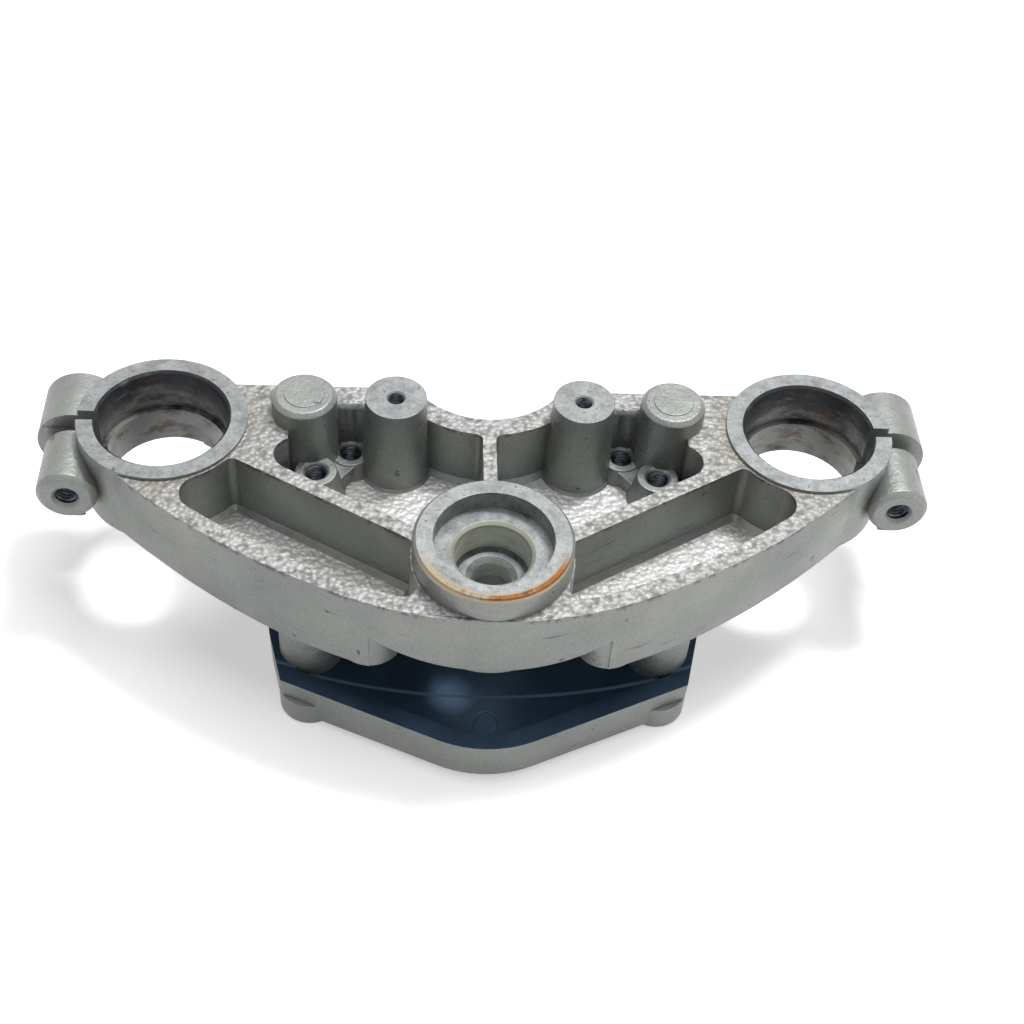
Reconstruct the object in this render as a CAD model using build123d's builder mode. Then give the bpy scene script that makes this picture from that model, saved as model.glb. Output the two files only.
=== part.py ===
"""Upper fork bridge (top triple clamp) of a motorcycle, one aluminium casting, lying with its
raised platform down, as it stands on a bench.

Frame: millimetres, +Z up. The origin is on the steering-stem axis at the height of the machined
faces of the two fork collars. +X runs from one fork collar to the other, -Y points to the front.
"""
import os
from math import asin, cos, degrees, radians, sin, sqrt, tan

from build123d import *

# Fork collars: two split rings that grip the fork tubes
FORK_SPACING = 205.0
FORK_OFFSET = 54.8
FORK_BORE_R = 20.5
FORK_BORE_DEPTH = 15.5
FORK_BORE_CHAMFER = 0.9
COLLAR_WALL = 6.1
COLLAR_DEPTH = 28.3
CAP_HOLE_R = 19.0
SLIT_WIDTH = 3.8

# Body: a deep tray with thin walls, open at the top
CAST_TOP_Z = -1.2
BODY_DEPTH = 30.8
RAMP_START_X = 62.0
NOSE_Y = -24.2
NOSE_ARC_R = 110.8
NOSE_HALF_ANGLE = 22.3
ARM_ARC_R = 233.0
ARM_OVERRUN = 15.5
REAR_EDGE_Y = 71.5
NOTCH_ARC_R = 27.3
NOTCH_DEPTH = 13.5

# Pockets, open at the top
POCKET_FLOOR_Z = -24.0
WALL = 5.6
REAR_WALL = 8.5
REAR_WALL_ROUND = 2.5
NOTCH_WALL = 6.9
POCKET_FLOOR_CHAMFER = 1.8
POCKET_CORNER_R = 2.5
POCKET_NOSE_R = 4.0
POCKET_END_R = 7.0
ROOT_GAP = 0.6
REAR_POCKET_END_X = 60.0
PLATEAU_TIP_X = 63.0

# Ribs: one diagonal rib each side and one short rib on the centre line
RIB_THICKNESS = 5.0
RIB_ANGLE = 30.4
RIB_AXIS_Y = -4.8
CENTRE_RIB_THICKNESS = 4.4

# Steering-stem boss, stepped bore and bolt hole
STEM_BOSS_R = 23.9
STEM_BOSS_TOP_Z = 7.7
STEM_BOSS_CHAMFER = 1.0
STEM_SINK_R = 17.9
STEM_SINK_DEPTH = 6.5
STEM_BORE_R = 11.6
STEM_BORE_CHAMFER = 1.0
STEM_BORE_FLOOR_Z = -11.0
STEM_RING_R = 9.4
STEM_RING_RISE = 1.7
STEM_BOLT_R = 6.2
STEM_BOLT_CHAMFER = 1.6
STEM_HEAD_R = 13.0
STEM_HEAD_Z = -16.5

# Posts on the rear wall: the inner pair is faced and tapped, the outer pair is left as cast
INNER_POST = (29.6, 57.9)
INNER_POST_R = 9.7
INNER_POST_TOP_Z = 7.7
INNER_TAP_R = 2.5
INNER_TAP_SINK_R = 3.1
INNER_TAP_DEPTH = 20.0
OUTER_POST = (58.5, 60.4)
OUTER_POST_R = 10.2
OUTER_POST_TOP_Z = 6.0
OUTER_POST_CHAMFER = 1.4
OUTER_POST_PAD_R = 6.4
OUTER_POST_PAD_RISE = 0.4
POST_DRAFT = 2.3

# Two tapped holes each side in sloped bosses between the posts and the rib, with a saddle between
FRONT_TAP = (54.6, 46.3)
FRONT_TAP_Z = -14.0
REAR_TAP = (44.2, 59.2)
REAR_TAP_Z = -18.0
TAP_HOLE_R = 3.4
TAP_SINK_R = 4.3
TAP_BOSS_R = 6.6
TAP_BOSS_DRAFT = 15.0
TAP_SADDLE_R = 5.5
TAP_SADDLE_Z = -18.6

# Pinch ears outside the collars, with one bolt across each slit
PINCH_REACH = 28.3
PINCH_AXIS_Z = -14.4
FRONT_EAR_R = 9.4
FRONT_EAR_Y = 32.5
REAR_EAR_R = 12.4
REAR_EAR_Y = 77.5
EAR_WEB_TOP_Z = -8.0
EAR_CHAMFER = 1.6
PINCH_TAP_R = 3.4
PINCH_SINK_R = 4.5
PINCH_CLEARANCE_R = 4.3
PINCH_HEAD_R = 7.0
PINCH_HEAD_DEPTH = 8.0

# Notch under the nose, which ends at a round boss each side
NOSE_CROWN_Z = -24.3
NOSE_CROWN_R = 54.3
NOSE_SLOPE = 45.0
ARM_BOSS_X = 36.0
ARM_BOSS_R = 10.0
ARM_BOSS_Z = -31.5

# Raised platform on four columns, open between it and the body
PLATFORM_TOP_Z = -50.5
PLATFORM_THICKNESS = 14.6
PLATFORM_VERTEX_Y = -37.6
PLATFORM_FRONT_ANGLE = 24.0
PLATFORM_VERTEX_R = 37.0
PLATFORM_CORNER_X = 63.9
PLATFORM_CORNER_R = 13.0
PLATFORM_SIDE_X = 68.8
PLATFORM_SIDE_Y = 10.5
PLATFORM_REAR_Y = 65.0
PLATFORM_DRAFT = 2.0
PAN_RIM = 6.0
PAN_DEPTH = 2.3
COLUMN_R = 10.0
FRONT_COLUMN = (54.9, 4.9)
REAR_COLUMN = (54.9, 50.9)
FRONT_FOOT = (54.9, -4.5)
FOOT_R = 9.8
FOOT_HEIGHT = 1.2

# How far a cut runs past the face it starts from, and a joined piece into the one that carries it
OVERRUN = 2.0

# Worked out from the sizes above
FORK_X = FORK_SPACING / 2
ARM_END_X = FORK_X + ARM_OVERRUN
PINCH_AXIS_X = FORK_X + PINCH_REACH
COLLAR_R = FORK_BORE_R + COLLAR_WALL
BODY_BOTTOM_Z = -BODY_DEPTH
NOTCH_CENTRE_Y = REAR_EDGE_Y - NOTCH_DEPTH + NOTCH_ARC_R
POCKET_DEPTH = CAST_TOP_Z - POCKET_FLOOR_Z
PLATFORM_BOTTOM_Z = PLATFORM_TOP_Z - PLATFORM_THICKNESS
RIB_SLOPE = tan(radians(RIB_ANGLE))
NOSE_CENTRE_Y = NOSE_Y + NOSE_ARC_R
ARM_CENTRE_X = -(ARM_ARC_R - NOSE_ARC_R) * sin(radians(NOSE_HALF_ANGLE))
ARM_CENTRE_Y = NOSE_CENTRE_Y + (ARM_ARC_R - NOSE_ARC_R) * cos(radians(NOSE_HALF_ANGLE))
ARM_BOSS_Y = NOSE_CENTRE_Y - sqrt((NOSE_ARC_R - ARM_BOSS_R) ** 2 - ARM_BOSS_X**2)
ARM_BOSS = (ARM_BOSS_X, ARM_BOSS_Y)
SLIT_FRONT_Y = FORK_OFFSET - SLIT_WIDTH / 2
SLIT_REAR_Y = FORK_OFFSET + SLIT_WIDTH / 2


def front_arcs(inset, start_x, end_x):
    """Draw the front wall's nose arc and arm arc, moved in by inset, and return the two ends."""
    nose_r = NOSE_ARC_R - inset
    arm_r = ARM_ARC_R - inset
    start = degrees(asin(start_x / nose_r))
    end = degrees(asin((end_x - ARM_CENTRE_X) / arm_r))
    nose = CenterArc((0, NOSE_CENTRE_Y), nose_r, start - 90, NOSE_HALF_ANGLE - start)
    arm = CenterArc(
        (ARM_CENTRE_X, ARM_CENTRE_Y), arm_r, NOSE_HALF_ANGLE - 90, end - NOSE_HALF_ANGLE
    )
    return nose @ 0, arm @ 1


def notch_arc(radius, start_x, end_y):
    """Draw the arc round the rear notch from start_x to the height end_y and return its ends."""
    start = degrees(asin(start_x / radius)) - 90
    end = degrees(asin((end_y - NOTCH_CENTRE_Y) / radius))
    arc = CenterArc((0, NOTCH_CENTRE_Y), radius, start, end - start)
    return arc @ 0, arc @ 1


def rib_y(side, x):
    """Y of the diagonal rib's front face (side -1) or back face (side 1) at x."""
    half = RIB_THICKNESS / 2 / cos(radians(RIB_ANGLE))
    return RIB_AXIS_Y + x * RIB_SLOPE + side * half


def post_radius(radius, top_z, z):
    """Radius of a drafted post at the height z."""
    return radius + (top_z - z) * tan(radians(POST_DRAFT))


def near(sketch, *points):
    """The sketch's corners that lie nearest to the given points."""
    return [sketch.vertices().sort_by_distance((x, y, CAST_TOP_Z))[0] for x, y in points]


# Outline of the tray's right half, seen from above
with BuildSketch(Plane.XY.offset(CAST_TOP_Z)) as body_outline:
    with BuildLine():
        nose_point, arm_point = front_arcs(0, 0, ARM_END_X)
        notch_start, notch_end = notch_arc(NOTCH_ARC_R, 0, REAR_EDGE_Y)
        Polyline(arm_point, (FORK_X, FORK_OFFSET), (FORK_X, REAR_EDGE_Y), notch_end)
        Line(notch_start, nose_point)
    make_face()

# Front pocket: between the front wall and the diagonal rib, up to the collar and the stem boss
with BuildSketch(Plane.XY.offset(CAST_TOP_Z)) as front_pocket:
    boss_x = STEM_BOSS_R / 2
    collar_x = FORK_X - COLLAR_R / 2
    with BuildLine():
        inner_start, inner_end = front_arcs(WALL, boss_x, FORK_X + COLLAR_R / 2)
        Polyline(
            inner_end,
            (FORK_X, FORK_OFFSET),
            (collar_x, rib_y(-1, collar_x)),
            (boss_x, rib_y(-1, boss_x)),
            inner_start,
        )
    make_face()
    with Locations((FORK_X, FORK_OFFSET)):
        Circle(COLLAR_R + ROOT_GAP, mode=Mode.SUBTRACT)
    Circle(STEM_BOSS_R + ROOT_GAP, mode=Mode.SUBTRACT)
    along = front_pocket.vertices().sort_by(Axis.X)
    wedge, root = sorted(along[:2], key=lambda corner: corner.Y)
    fillet(along[-1], POCKET_END_R)
    fillet(near(front_pocket, (wedge.X, wedge.Y)), POCKET_NOSE_R)
    fillet(near(front_pocket, (root.X, root.Y)), POCKET_CORNER_R)
    fillet(front_pocket.vertices().sort_by(Axis.Y)[-1], POCKET_CORNER_R)

# Rear pocket: behind the rib, round the two posts, with a round end beside the plateau
with BuildSketch(Plane.XY.offset(CAST_TOP_Z)) as rear_pocket:
    rib_side_x = CENTRE_RIB_THICKNESS / 2
    back_y = REAR_EDGE_Y - REAR_WALL
    end_x = REAR_POCKET_END_X
    end_y = rib_y(1, end_x) + POCKET_END_R / cos(radians(RIB_ANGLE))
    rib_end_x = end_x + POCKET_END_R * sin(radians(RIB_ANGLE))
    with BuildLine():
        back_start, back_end = notch_arc(NOTCH_ARC_R + NOTCH_WALL, rib_side_x, back_y)
        Polyline(
            back_end,
            (PLATEAU_TIP_X, back_y),
            (PLATEAU_TIP_X, end_y),
            (rib_end_x, rib_y(1, rib_end_x)),
            (rib_side_x, rib_y(1, rib_side_x)),
            back_start,
        )
    make_face()
    with Locations((end_x, end_y)):
        Circle(POCKET_END_R)
    Circle(STEM_BOSS_R + ROOT_GAP, mode=Mode.SUBTRACT)
    with Locations(INNER_POST):
        Circle(post_radius(INNER_POST_R, INNER_POST_TOP_Z, CAST_TOP_Z), mode=Mode.SUBTRACT)
    with Locations(OUTER_POST):
        Circle(post_radius(OUTER_POST_R, OUTER_POST_TOP_Z, CAST_TOP_Z), mode=Mode.SUBTRACT)
    rib_corners = rear_pocket.vertices().sort_by(Axis.X)
    fillet(rib_corners[:2] + rib_corners[3:4], POCKET_CORNER_R)

# The two pockets' spaces, with sloped corners along their floors
with BuildPart() as front_space:
    add(front_pocket.sketch)
    extrude(amount=POCKET_DEPTH, dir=(0, 0, -1))
    chamfer(front_space.faces().sort_by(Axis.Z)[0].edges(), POCKET_FLOOR_CHAMFER)

with BuildPart() as rear_space:
    add(rear_pocket.sketch)
    extrude(amount=POCKET_DEPTH, dir=(0, 0, -1))
    chamfer(rear_space.faces().sort_by(Axis.Z)[0].edges(), POCKET_FLOOR_CHAMFER)

# Saddle between the bosses of the two tapped holes
saddle_middle = ((FRONT_TAP[0] + REAR_TAP[0]) / 2, (FRONT_TAP[1] + REAR_TAP[1]) / 2)
saddle_run = (FRONT_TAP[0] - REAR_TAP[0], FRONT_TAP[1] - REAR_TAP[1])
saddle_length = sqrt(saddle_run[0] ** 2 + saddle_run[1] ** 2)
saddle_angle = degrees(asin(saddle_run[1] / saddle_length))

# Space in front of the rear wall's rounded top edge, between the two posts
with BuildPart() as wall_round:
    round_y = REAR_EDGE_Y - REAR_WALL
    round_z = CAST_TOP_Z - REAR_WALL_ROUND
    with BuildSketch(Plane.YZ.offset(INNER_POST[0])):
        with Locations((round_y, round_z)):
            Rectangle(REAR_WALL_ROUND, REAR_WALL_ROUND + OVERRUN, align=(Align.MIN, Align.MIN))
        with Locations((round_y + REAR_WALL_ROUND, round_z)):
            Circle(REAR_WALL_ROUND, mode=Mode.SUBTRACT)
    extrude(amount=OUTER_POST[0] - INNER_POST[0])


# Outer post: drafted, with a sloped rim and a low round pad on its top
with BuildPart() as outer_post:
    foot_z = POCKET_FLOOR_Z - OVERRUN
    rim_z = OUTER_POST_TOP_Z - OUTER_POST_CHAMFER
    pad_z = OUTER_POST_TOP_Z + OUTER_POST_PAD_RISE
    with BuildSketch(Plane.XZ):
        with BuildLine():
            Polyline(
                (0, foot_z),
                (post_radius(OUTER_POST_R, OUTER_POST_TOP_Z, foot_z), foot_z),
                (post_radius(OUTER_POST_R, OUTER_POST_TOP_Z, rim_z), rim_z),
                (OUTER_POST_R - OUTER_POST_CHAMFER, OUTER_POST_TOP_Z),
                (OUTER_POST_PAD_R, OUTER_POST_TOP_Z),
                (OUTER_POST_PAD_R, pad_z),
                (0, pad_z),
                close=True,
            )
        make_face()
    revolve(axis=Axis.Z)


def pinch_ear(radius, slit_y, end_y):
    """A pinch ear from the slit to end_y: a round knob along Y with a web to the collar."""
    web_start_x = FORK_X + FORK_BORE_R + COLLAR_WALL / 2
    with BuildPart() as ear:
        with BuildSketch(Plane.XZ.offset(-slit_y)):
            with Locations((PINCH_AXIS_X, PINCH_AXIS_Z)):
                Circle(radius)
            with Locations((web_start_x, PINCH_AXIS_Z - radius)):
                Rectangle(
                    PINCH_AXIS_X - web_start_x,
                    EAR_WEB_TOP_Z - PINCH_AXIS_Z + radius,
                    align=(Align.MIN, Align.MIN),
                )
        extrude(amount=slit_y - end_y)
        far_face = ear.faces().sort_by_distance((PINCH_AXIS_X, end_y, PINCH_AXIS_Z))[0]
        chamfer(far_face.edges(), EAR_CHAMFER)
    return ear.part


def tap_boss(place, top_z):
    """A sloped round boss on the pocket's floor, with its flat top at top_z."""
    with BuildPart() as boss:
        with BuildSketch(Plane.XY.offset(top_z)):
            with Locations(place):
                Circle(TAP_BOSS_R)
        extrude(amount=top_z - BODY_BOTTOM_Z - OVERRUN, dir=(0, 0, -1), taper=-TAP_BOSS_DRAFT)
    return boss.part


# What is cut away under the nose: a shallow arch whose roof slopes down to the back, and which
# stops at a round boss at the end of each arm
with BuildPart() as nose_notch:
    with BuildSketch(Plane.XZ.offset(-NOSE_Y)):
        with Locations((0, NOSE_CROWN_Z + NOSE_CROWN_R)):
            Rectangle(ARM_BOSS[0], NOSE_CROWN_R + BODY_DEPTH, align=(Align.MIN, Align.MAX))
            Circle(NOSE_CROWN_R, mode=Mode.SUBTRACT)
    slope = radians(NOSE_SLOPE)
    extrude(amount=BODY_DEPTH, dir=(0, cos(slope), -sin(slope)))
    with BuildSketch(Plane.XY.offset(-2 * BODY_DEPTH)):
        with Locations(ARM_BOSS):
            Circle(ARM_BOSS_R)
    extrude(amount=2 * BODY_DEPTH, mode=Mode.SUBTRACT)

# Platform outline: a blunt arrow to the front with straight sides
with BuildSketch(Plane.XY.offset(PLATFORM_TOP_Z)) as platform_outline:
    corner_y = PLATFORM_VERTEX_Y + PLATFORM_CORNER_X * tan(radians(PLATFORM_FRONT_ANGLE))
    with BuildLine():
        Polyline(
            (0, PLATFORM_VERTEX_Y),
            (PLATFORM_CORNER_X, corner_y),
            (PLATFORM_SIDE_X, PLATFORM_SIDE_Y),
            (PLATFORM_SIDE_X, PLATFORM_REAR_Y),
            (0, PLATFORM_REAR_Y),
        )
        mirror(about=Plane.YZ)
    make_face()
    in_depth = platform_outline.vertices().sort_by(Axis.Y)
    fillet(in_depth[0], PLATFORM_VERTEX_R)
    fillet(platform_outline.vertices().group_by(Axis.Y)[2], PLATFORM_CORNER_R)
    fillet(platform_outline.vertices().group_by(Axis.Y)[-1], PLATFORM_CORNER_R)

column_places = [(side * x, y) for side in (-1, 1) for x, y in (FRONT_COLUMN, REAR_COLUMN)]
foot_places = [(side * x, y) for side in (-1, 1) for x, y in (FRONT_FOOT, REAR_COLUMN)]

with BuildPart() as fork_bridge:
    # Tray with two pockets each side
    add(body_outline.sketch)
    extrude(amount=CAST_TOP_Z - BODY_BOTTOM_Z, dir=(0, 0, -1))
    with BuildSketch(Plane.XZ) as ramp:
        with BuildLine():
            ramp_end_x = FORK_X + 2 * COLLAR_R
            Polyline(
                (RAMP_START_X, BODY_BOTTOM_Z),
                (FORK_X, -COLLAR_DEPTH),
                (ramp_end_x, -COLLAR_DEPTH),
                (ramp_end_x, BODY_BOTTOM_Z - OVERRUN),
                (RAMP_START_X, BODY_BOTTOM_Z - OVERRUN),
                close=True,
            )
        make_face()
    extrude(amount=2 * FORK_SPACING, both=True, mode=Mode.SUBTRACT)
    add(nose_notch.part, mode=Mode.SUBTRACT)
    add(front_space.part, mode=Mode.SUBTRACT)
    add(rear_space.part, mode=Mode.SUBTRACT)
    add(wall_round.part, mode=Mode.SUBTRACT)

    # Bosses in the rear pocket for the two tapped holes
    add(tap_boss(FRONT_TAP, FRONT_TAP_Z))
    add(tap_boss(REAR_TAP, REAR_TAP_Z))
    with BuildSketch(Plane.XY.offset(TAP_SADDLE_Z)):
        with Locations(Location((*saddle_middle, 0), (0, 0, saddle_angle))):
            SlotCenterToCenter(saddle_length, 2 * TAP_SADDLE_R)
    extrude(amount=TAP_SADDLE_Z - POCKET_FLOOR_Z + OVERRUN, dir=(0, 0, -1))

    # Posts, drafted from their tops down to the floor
    with Locations(OUTER_POST):
        add(outer_post.part)
    with BuildSketch(Plane.XY.offset(INNER_POST_TOP_Z)):
        with Locations(INNER_POST):
            Circle(INNER_POST_R)
    extrude(amount=INNER_POST_TOP_Z - POCKET_FLOOR_Z, dir=(0, 0, -1), taper=-POST_DRAFT)

    # Round boss at the arm's end, beside the nose notch
    with BuildSketch(Plane.XY.offset(ARM_BOSS_Z)):
        with Locations(ARM_BOSS):
            Circle(ARM_BOSS_R)
    extrude(amount=POCKET_FLOOR_Z - ARM_BOSS_Z)

    # Fork collar and its two pinch ears
    with BuildSketch():
        with Locations((FORK_X, FORK_OFFSET)):
            Circle(COLLAR_R)
    extrude(amount=-COLLAR_DEPTH)
    add(pinch_ear(FRONT_EAR_R, SLIT_FRONT_Y, FRONT_EAR_Y))
    add(pinch_ear(REAR_EAR_R, SLIT_REAR_Y, REAR_EAR_Y))

    # Columns down to the platform
    with BuildSketch(Plane.XY.offset(PLATFORM_TOP_Z)):
        with Locations(FRONT_COLUMN, REAR_COLUMN):
            Circle(COLUMN_R)
    extrude(amount=POCKET_FLOOR_Z - OVERRUN - PLATFORM_TOP_Z)
    mirror(about=Plane.YZ)

    # Steering-stem boss on the centre line
    with BuildSketch(Plane.XZ):
        with BuildLine():
            Polyline(
                (0, POCKET_FLOOR_Z - OVERRUN),
                (STEM_BOSS_R, POCKET_FLOOR_Z - OVERRUN),
                (STEM_BOSS_R, STEM_BOSS_TOP_Z - STEM_BOSS_CHAMFER),
                (STEM_BOSS_R - STEM_BOSS_CHAMFER, STEM_BOSS_TOP_Z),
                (0, STEM_BOSS_TOP_Z),
                close=True,
            )
        make_face()
    revolve(axis=Axis.Z)

    # Platform with a shallow pan in its top
    add(platform_outline.sketch)
    extrude(amount=PLATFORM_THICKNESS, dir=(0, 0, -1), taper=PLATFORM_DRAFT)
    with BuildSketch(Plane.XY.offset(PLATFORM_TOP_Z)):
        add(platform_outline.sketch)
        offset(amount=-PAN_RIM, mode=Mode.REPLACE)
        with Locations(*column_places):
            Circle(COLUMN_R, mode=Mode.SUBTRACT)
    extrude(amount=-PAN_DEPTH, mode=Mode.SUBTRACT)

    # Round feet under the columns
    with BuildSketch(Plane.XY.offset(PLATFORM_BOTTOM_Z - FOOT_HEIGHT)):
        with Locations(*foot_places):
            Circle(FOOT_R)
    extrude(amount=FOOT_HEIGHT + PLATFORM_THICKNESS / 2)

    # Fork bores, each with a lip at the bottom and a slit to the outside
    for side in (-1, 1):
        fork_x = side * FORK_X
        with Locations((fork_x, FORK_OFFSET, 0)):
            CounterBoreHole(CAP_HOLE_R, FORK_BORE_R, FORK_BORE_DEPTH, depth=2 * COLLAR_DEPTH)
            Cone(
                FORK_BORE_R,
                FORK_BORE_R + FORK_BORE_CHAMFER,
                FORK_BORE_CHAMFER,
                align=(Align.CENTER, Align.CENTER, Align.MAX),
                mode=Mode.SUBTRACT,
            )
        with BuildSketch(Plane.XY) as slit:
            with Locations((fork_x + side * FORK_SPACING / 4, FORK_OFFSET)):
                Rectangle(FORK_SPACING / 2, SLIT_WIDTH)
        extrude(amount=-2 * COLLAR_DEPTH, mode=Mode.SUBTRACT)

    # Steering stem: a wide sink, the stem's bore with a raised ring on its floor, and the bolt hole
    with BuildSketch(Plane.XZ):
        with BuildLine():
            ring_z = STEM_BORE_FLOOR_Z + STEM_RING_RISE
            sink_z = STEM_BOSS_TOP_Z - STEM_SINK_DEPTH
            Polyline(
                (0, STEM_BOSS_TOP_Z + OVERRUN),
                (STEM_SINK_R, STEM_BOSS_TOP_Z + OVERRUN),
                (STEM_SINK_R, sink_z),
                (STEM_BORE_R + STEM_BORE_CHAMFER, sink_z),
                (STEM_BORE_R, sink_z - STEM_BORE_CHAMFER),
                (STEM_BORE_R, ring_z),
                (STEM_BORE_R - STEM_BORE_CHAMFER, STEM_BORE_FLOOR_Z),
                (STEM_RING_R, STEM_BORE_FLOOR_Z),
                (STEM_RING_R, ring_z),
                (STEM_BOLT_R + STEM_BOLT_CHAMFER, ring_z),
                (STEM_BOLT_R, ring_z - STEM_BOLT_CHAMFER),
                (STEM_BOLT_R, STEM_HEAD_Z),
                (STEM_HEAD_R, STEM_HEAD_Z),
                (STEM_HEAD_R, BODY_BOTTOM_Z - OVERRUN),
                (0, BODY_BOTTOM_Z - OVERRUN),
                close=True,
            )
        make_face()
    revolve(axis=Axis.Z, mode=Mode.SUBTRACT)

    # Tapped holes in the inner posts and in the bosses, each with a countersunk mouth. Above the rear
    # boss the bolt's way in nicks the posts and the wall; the front hole runs in under the post.
    for side in (-1, 1):
        with Locations((side * INNER_POST[0], INNER_POST[1], INNER_POST_TOP_Z)):
            CounterSinkHole(INNER_TAP_R, INNER_TAP_SINK_R, INNER_TAP_DEPTH)
        with Locations((side * REAR_TAP[0], REAR_TAP[1], REAR_TAP_Z)):
            CounterSinkHole(TAP_HOLE_R, TAP_SINK_R, REAR_TAP_Z - BODY_BOTTOM_Z + OVERRUN)
        with Locations((side * FRONT_TAP[0], FRONT_TAP[1], FRONT_TAP_Z)):
            Cylinder(
                TAP_HOLE_R,
                FRONT_TAP_Z - BODY_BOTTOM_Z + OVERRUN,
                align=(Align.CENTER, Align.CENTER, Align.MAX),
                mode=Mode.SUBTRACT,
            )
            Cone(
                TAP_HOLE_R,
                TAP_SINK_R,
                TAP_SINK_R - TAP_HOLE_R,
                align=(Align.CENTER, Align.CENTER, Align.MAX),
                mode=Mode.SUBTRACT,
            )

    # Pinch bolts: tapped in the front ear, clear through the rear ear with a seat for the head
    for side in (-1, 1):
        front_mouth = Plane((side * PINCH_AXIS_X, FRONT_EAR_Y, PINCH_AXIS_Z), z_dir=(0, -1, 0))
        with Locations(front_mouth):
            CounterSinkHole(PINCH_TAP_R, PINCH_SINK_R, SLIT_FRONT_Y - FRONT_EAR_Y + SLIT_WIDTH / 2)
        rear_mouth = Plane((side * PINCH_AXIS_X, REAR_EAR_Y, PINCH_AXIS_Z), z_dir=(0, 1, 0))
        with Locations(rear_mouth):
            CounterBoreHole(
                PINCH_CLEARANCE_R,
                PINCH_HEAD_R,
                PINCH_HEAD_DEPTH,
                REAR_EAR_Y - SLIT_REAR_Y + SLIT_WIDTH / 2,
            )

fork_bridge.part.label = "fork_bridge"
os.makedirs("parts", exist_ok=True)
export_step(fork_bridge.part, "parts/fork_bridge.step")
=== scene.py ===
"""Dresses the upper fork bridge: an aluminium casting that lies on its raised platform.

The CAD solid is carried over as a fixed frame. A merged copy of it gets rounded edges, one
finish for each kind of surface, and the threads of its tapped holes. Lengths are in millimetres
where a name ends in _mm and in Level, TappedHole, Threads and Casting, and in metres elsewhere.
The axes are the frame's own: the origin is on the steering-stem axis at the height of the fork
collars' faces, -Y points to the front and +Z up.
"""
import logging
import math
from dataclasses import dataclass, field
from enum import Enum
from typing import Sequence

import bmesh
import bpy
from mathutils import Euler, Matrix, Vector


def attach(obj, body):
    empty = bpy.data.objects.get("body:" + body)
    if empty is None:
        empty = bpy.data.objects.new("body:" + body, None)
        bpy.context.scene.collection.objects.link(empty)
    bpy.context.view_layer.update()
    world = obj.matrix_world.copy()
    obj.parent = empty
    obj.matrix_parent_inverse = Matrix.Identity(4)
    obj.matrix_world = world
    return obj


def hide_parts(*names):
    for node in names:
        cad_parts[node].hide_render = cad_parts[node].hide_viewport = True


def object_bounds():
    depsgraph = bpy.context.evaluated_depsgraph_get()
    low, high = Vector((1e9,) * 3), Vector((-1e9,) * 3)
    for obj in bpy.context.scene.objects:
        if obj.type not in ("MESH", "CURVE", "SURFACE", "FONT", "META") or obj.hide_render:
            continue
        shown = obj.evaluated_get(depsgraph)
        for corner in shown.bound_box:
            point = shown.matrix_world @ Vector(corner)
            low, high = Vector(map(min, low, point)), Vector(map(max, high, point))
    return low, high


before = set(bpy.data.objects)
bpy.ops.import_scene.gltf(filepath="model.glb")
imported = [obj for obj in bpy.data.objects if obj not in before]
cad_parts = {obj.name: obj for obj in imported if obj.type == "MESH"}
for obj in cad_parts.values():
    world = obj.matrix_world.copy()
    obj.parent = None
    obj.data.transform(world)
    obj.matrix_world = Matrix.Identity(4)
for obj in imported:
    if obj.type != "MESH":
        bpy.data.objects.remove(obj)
CAD_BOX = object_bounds()

NODE = "fork_bridge"
BODY = "root"
MM = 0.001

# Places on the right half that more than one class reads, in millimetres
FORK_AXIS = (102.5, 54.8)
INNER_POST = (29.6, 57.9)
OUTER_POST = (58.5, 60.4)
CAST_TOP = -1.2
EAR_START = 112.0

# How the merged mesh is cleaned: two distances in metres and an angle in radians
MERGE_DISTANCE = 1e-6
SLIVER_LENGTH = 3e-5
FLAT_ANGLE = 0.002

log = logging.getLogger("fork_bridge")


class Surface(Enum):
    """The kinds of surface on the casting; a value is the finish's place in the slot list."""

    SATIN = 0
    CRINKLED = 1
    MACHINED = 2
    FORK_BORE = 3
    STEM_BORE = 4
    PAN = 5
    TAPPED = 6


CUT_SLOTS = frozenset(
    kind.value for kind in
    (Surface.MACHINED, Surface.FORK_BORE, Surface.STEM_BORE, Surface.TAPPED)
)


@dataclass(frozen=True)
class Level:
    """A machined face at one height round one axis.

    Args:
        x: Axis X in millimetres.
        y: Axis Y in millimetres.
        z: Height of the face in millimetres.
        reach: Radius in millimetres within which faces belong to it.
    """

    x: float
    y: float
    z: float
    reach: float

    def holds(self, corners: list[Vector], tolerance: float = 0.05) -> bool:
        """Tell whether a face lies on this level.

        Args:
            corners: The face's corners, in millimetres.
            tolerance: How far a corner may be above or below it, in millimetres.

        Returns:
            True where every corner is on the level and within its reach.
        """
        return all(
            math.hypot(abs(corner.x) - self.x, corner.y - self.y) <= self.reach
            and abs(corner.z - self.z) <= tolerance
            for corner in corners
        )


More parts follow.
